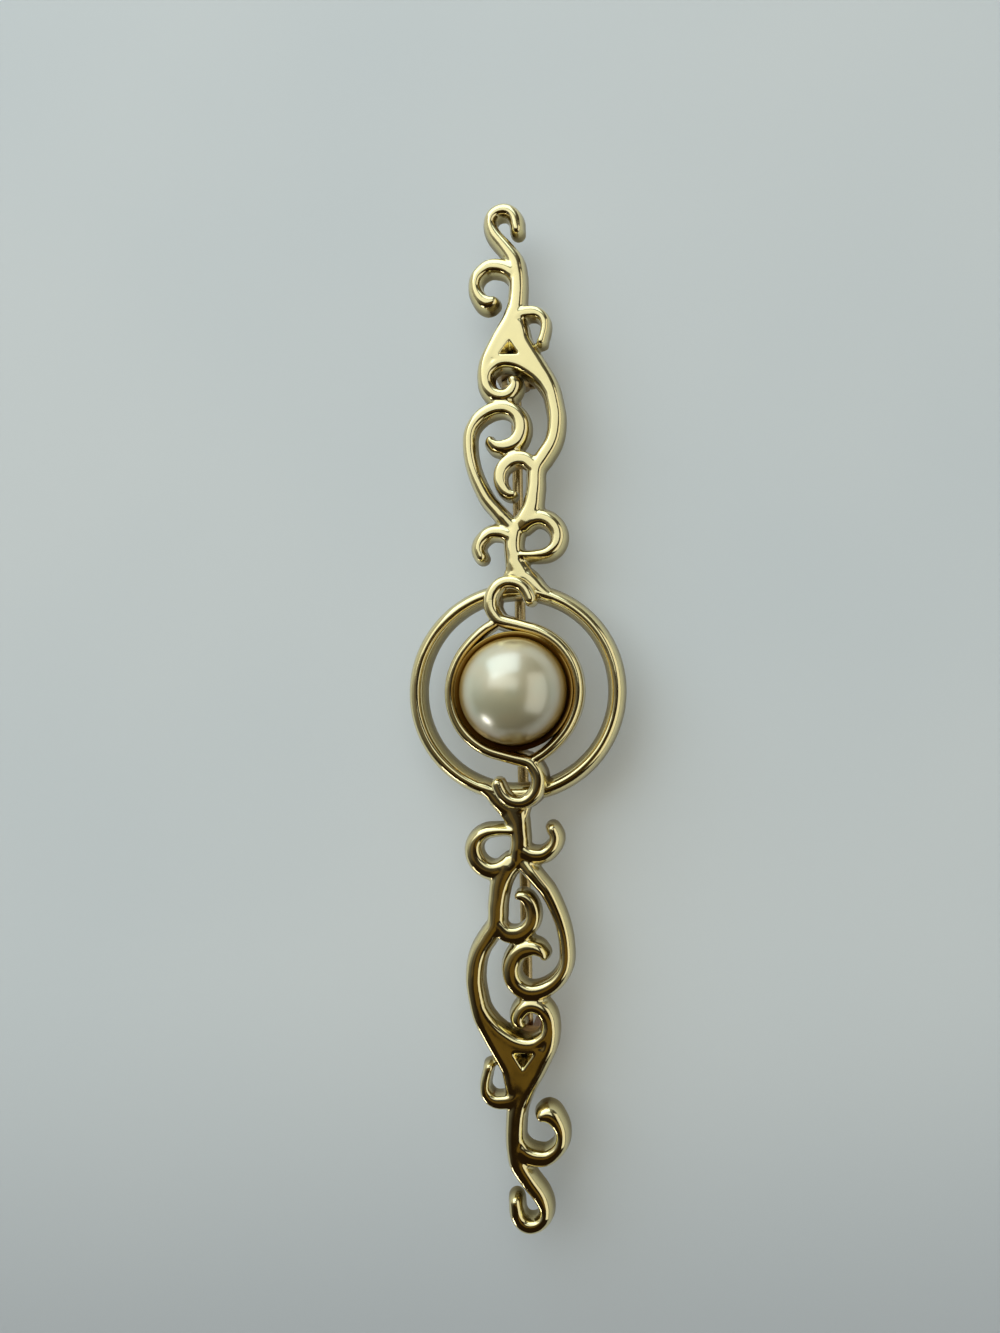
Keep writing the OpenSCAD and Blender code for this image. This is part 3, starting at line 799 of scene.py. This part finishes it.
def slit(width, near, far):
    """A block to cut a slot with, from the stem's height down."""
    return block((-width / 2, near - OVERSHOOT, -OVERSHOOT), (width / 2, far + OVERSHOOT, STEM_Z))


def hinge_bracket():
    """Two ears on a base plate, with the rivet's hole through both."""
    side = EAR_IN + EAR_T
    whole = base_plate(HINGE_Y, 2 * side, EAR_L)
    for start in (-side, EAR_IN):
        add(whole, prism(foot(EAR_L, BACK_Z - SINK, HINGE_Y), start, EAR_T))
    cut(whole, drill(EAR_BORE, -side, side, "X", HINGE_Y))
    soften(whole, HINGE_EDGE)
    return whole


def catch_housing():
    """Housing on a neck and a base plate, bored for the sleeve and open below."""
    neck = CATCH_W * NECK_SHARE
    top = BACK_Z - SINK
    stand = foot(CATCH_W, STEM_Z + SLEEVE_R * SHOULDER_SHARE)
    outline = stand[:4] + [(neck / 2, top), (-neck / 2, top)] + stand[4:]
    whole = prism(outline, CATCH_Y, CATCH_L, "Y")
    add(whole, base_plate(CATCH_Y + CATCH_L / 2, neck, CATCH_L - 2 * BASE_RIM))
    cut(whole, drill(HOUSING_BORE, 0, CATCH_L, "Y", CATCH_Y, 48))
    cut(whole, slit(MOUTH_W, CATCH_Y, CATCH_Y + CATCH_L))
    soften(whole, CATCH_EDGE)
    return whole


def catch_sleeve():
    """Slotted sleeve between two flanges, the nearer of which has the thumb lever."""
    near = CATCH_Y - END_GAP - LEVER_T
    far = CATCH_Y + CATCH_L + END_GAP
    head, tail = near + LEVER_T, far + FLANGE_T
    whole = spin_profile((
        (0, near), (FLANGE_R - FLANGE_EDGE, near), (FLANGE_R, near + FLANGE_EDGE),
        (FLANGE_R, head - INNER_EDGE), (FLANGE_R - INNER_EDGE, head), (SLEEVE_R, head),
        (SLEEVE_R, far), (FLANGE_R - INNER_EDGE, far), (FLANGE_R, far + INNER_EDGE),
        (FLANGE_R, tail - FLANGE_EDGE), (FLANGE_R - FLANGE_EDGE, tail), (0, tail)),
        "Y", (0, 0, STEM_Z), 64)
    lever = block((LEVER_START, near + LEVER_INSET, STEM_Z - LEVER_H / 2),
                  (LEVER_L, head - LEVER_INSET, STEM_Z + LEVER_H / 2))
    soften(lever, LEVER_EDGE, 4)
    add(whole, lever)
    cut(whole, drill(SLEEVE_BORE, near, far, "Y"))
    cut(whole, slit(SLOT_W, near, far))
    return whole


def stem_wire():
    """Wire with a ground point, and the eye that turns on the rivet."""
    length = TIP_Y - HINGE_Y
    shank = [(0, SHANK_START), (STEM_R, SHANK_START)]
    shank += [(STEM_R, y) for y in range(SHANK_STEP, int(length - POINT_L), SHANK_STEP)]
    shank += [(STEM_R * share, length - back) for share, back in POINT]
    wire = spin_profile(shank, "Y", (0, HINGE_Y, STEM_Z), 32)
    half = EYE_W / 2
    left = [(RIVET_BORE + EYE_EASE, -half)]
    left += [(EYE_R - inwards, -half + along) for inwards, along in EYE_ROUND]
    right = [(radius, -along) for radius, along in reversed(left)]
    hole = [(RIVET_BORE, half - EYE_EASE), (RIVET_BORE, -half + EYE_EASE)]
    eye = spin_profile(left + right + hole, "X", (0, HINGE_Y, STEM_Z), 48)
    add(eye, wire)
    return eye


def rivet():
    """Pin with a domed head at each end, outside the ears."""
    inner = EAR_IN + EAR_T + HEAD_GAP
    reach = inner + HEAD_T
    half = [(HEAD_R * share, -reach + down) for share, down in HEAD_DOME]
    half += [(HEAD_R, -inner), (RIVET_R, -inner)]
    other = [(radius, -along) for radius, along in reversed(half)]
    return spin_profile(half + other, "X", (0, HINGE_Y, STEM_Z), 40)


PALE_GOLD = (0.93, 0.79, 0.42)
DEEP_GOLD = (0.91, 0.77, 0.39)
# Painted shade: each finish's fourth colour is the darkened tone that its walls go over to, and on
# the scroll it is darker still for the shaded gap round the cup.
cast_gold = gold(
    "cast_gold", PALE_GOLD, DEEP_GOLD, (0.3, 0.24, 0.115), shine=0.07, dull=0.13, ripple=0.028,
    foot=BACK_Z + 0.5, front=FRONT_Z - 0.03)
scroll_gold = gold(
    "scroll_gold", PALE_GOLD, DEEP_GOLD, (0.22, 0.16, 0.075), shine=0.06, dull=0.12, ripple=0.015,
    foot=SCROLL_Z - SCROLL_T - 0.3, front=SCROLL_Z - 0.3)
# Painted shade: the cup is a darkened copy of the gold, darkest on its walls, for the shade between
# the cup, the pearl and the scroll.
shaded_cup_gold = gold(
    "shaded_cup_gold", (0.38, 0.24, 0.06), (0.3, 0.18, 0.04), (0.2, 0.12, 0.03), shine=0.1, dull=0.18,
    ripple=0.01, foot=EQUATOR_Z - 0.4, front=EQUATOR_Z + CUP_LIP)
# Painted shade: the wire's gold is darkened for the shade it lies in under the panels.
shaded_wire_gold = gold(
    "shaded_wire_gold", (0.66, 0.5, 0.24), (0.55, 0.4, 0.18), (0.45, 0.32, 0.15), shine=0.2, dull=0.32,
    ripple=0.006, foot=STEM_Z - STEM_R, front=STEM_Z + STEM_R)
# Brass tone of the fittings, darkened as painted shade for the shade under the panels.
shaded_brass = gold(
    "fitting_brass", (0.44, 0.32, 0.14), (0.34, 0.23, 0.1), (0.26, 0.17, 0.07), shine=0.24,
    dull=0.4, ripple=0.008, foot=0, front=BACK_Z)
# Painted shade and reflection: the hinge's reddish brown paints its shade and the gold's reflections
# in it.
shaded_hinge_brown = gold(
    "shaded_hinge_brown", (0.5, 0.3, 0.13), (0.36, 0.11, 0.05), (0.3, 0.13, 0.06), shine=0.3, dull=0.5,
    ripple=0.02, foot=0, front=BACK_Z)
nacre = pearl_finish()

upper = panel()
lower = turned_copy(upper)
for piece, name, material in (
        (upper, "scroll_panel_upper", cast_gold), (lower, "scroll_panel_lower", cast_gold),
        (centre_ring(), "centre_ring", cast_gold), (s_scroll(), "s_scroll", scroll_gold),
        (pearl_cup(), "pearl_cup", shaded_cup_gold), (hinge_bracket(), "hinge_bracket", shaded_hinge_brown),
        (catch_housing(), "catch_housing", shaded_brass)):
    finish_piece(piece, name, material, "frame", "cast_gold_tone", "scroll_frame")
finish_piece(half_pearl(), "half_pearl", nacre, "frame", "pearl_white", "pearl")
finish_piece(stem_wire(), "stem_wire", shaded_wire_gold, "stem", "stem_wire", "pin_stem")
finish_piece(rivet(), "rivet", shaded_brass, "frame", "fitting_brass", "hinge_rivet")
finish_piece(catch_sleeve(), "turning_sleeve", shaded_brass, "catch", "fitting_brass", "catch_sleeve")


# ---- Floor, camera and light ------------------------------------------------------------------

deselect()
bpy.ops.mesh.primitive_plane_add(size=3)
floor = bpy.context.object
floor.name = "floor"
floor.data.materials.append(paper())

# The photo's camera, fitted to the ring, the cup and the bar's half-turn symmetry
CAMERA_AT = (10.38, -0.64, FRONT_Z + 75.18)
CAMERA_RIGHT = (0.99859, -0.0279, -0.04522)
CAMERA_UP = (0.0325, 0.994, 0.10445)
CAMERA_LENS = 27
CAMERA_SHIFT = (-0.0812, -0.057)
camera_data = bpy.data.cameras.new("camera")
camera = bpy.data.objects.new("camera", camera_data)
scene.collection.objects.link(camera)
scene.camera = camera
camera_data.sensor_fit = "VERTICAL"
camera_data.sensor_height = 36
camera_data.lens = CAMERA_LENS
camera_data.shift_x, camera_data.shift_y = CAMERA_SHIFT
camera_data.clip_start = 0.01
right = Vector(CAMERA_RIGHT)
back = right.cross(Vector(CAMERA_UP)).normalized()
aim = Matrix((right, back.cross(right).normalized(), back)).transposed().to_4x4()
camera.matrix_world = Matrix.Translation(Vector(CAMERA_AT) * MM) @ aim


def soft_light(name, bearing, tilt, width, height, glow, colour, distance=0.5, roll=0, use="gloss"):
    """A rectangular soft light that faces the brooch, tilt degrees from straight up towards a
    bearing, width by height degrees in size, and turned by roll in its own plane. A mirror shows
    it as bright as its glow. Its use is gloss, what the metal and the pearl mirror, or shade,
    what lights the paper."""
    across, along = (2 * distance * math.tan(math.radians(size / 2)) for size in (width, height))
    data = bpy.data.lights.new(name, "AREA")
    data.shape = "RECTANGLE"
    data.size, data.size_y = across, along
    data.energy = math.pi * across * along * glow
    data.color = colour
    light = bpy.data.objects.new(name, data)
    scene.collection.objects.link(light)
    light.visible_diffuse = use == "shade"
    light.visible_glossy = use == "gloss"
    flat = heading_vector(bearing)
    out, over = math.cos(math.radians(tilt)), math.sin(math.radians(tilt))
    away = Vector((flat.x * over, flat.y * over, out))
    side = Vector((-flat.y, flat.x, 0))
    light.matrix_world = (Matrix.Translation(away * distance)
                          @ Matrix((side, away.cross(side), away)).transposed().to_4x4()
                          @ Matrix.Rotation(math.radians(roll), 4, "Z"))
    return light


soft_light("ceiling", 126, 24, 62, 27, 0.86, (0.9, 0.98, 1), roll=-44)
soft_light("window", 106, 61, 56, 50, 1.6, (0.66, 0.86, 1))
soft_light("right_wall", -6, 60, 76, 46, 0.85, (0.98, 1, 0.95))
soft_light("wooden_shelf", -50, 24, 50, 11, 0.1, (1, 0.66, 0.14), roll=-40)
soft_light("dim_corner", 190, 20, 24, 16, 0.06, (1, 0.68, 0.14))
soft_light("far_lamp", 226, 86, 14, 9, 8, (1, 0.98, 0.95), distance=1.3)
soft_light("daylight", 125, 50, 60, 50, 0.88, (0.66, 0.86, 1), distance=0.7, use="shade")
soft_light("sky", 110, 20, 90, 90, 0.12, (0.9, 1, 1), use="shade")
fill = soft_light("fill", 110, 22, 60, 60, 1.35, (1, 0.96, 0.78), distance=0.7, use="shade")
fill.data.use_shadow = False

# Direction of the room's bright side. Its walls darken to brown on the far side.
BRIGHT_SIDE = Vector((-0.57, 0.81, 0.1)).normalized()
world = bpy.data.worlds.new("room")
scene.world = world
world.use_nodes = True
room = world.node_tree
sky_way = room.nodes.new("ShaderNodeTexCoord")
facing = room.nodes.new("ShaderNodeNormal")
facing.outputs["Normal"].default_value = BRIGHT_SIDE
room.links.new(sky_way.outputs["Generated"], facing.inputs["Normal"])
wall_tones = ramp_node(room.nodes, room.links, facing.outputs["Dot"], (0, (0.015, 0.009, 0.004)),
                       (0.35, (0.1, 0.1, 0.09)), (0.8, (0.5, 0.53, 0.53)))
room.links.new(wall_tones.outputs["Color"], room.nodes["Background"].inputs["Color"])
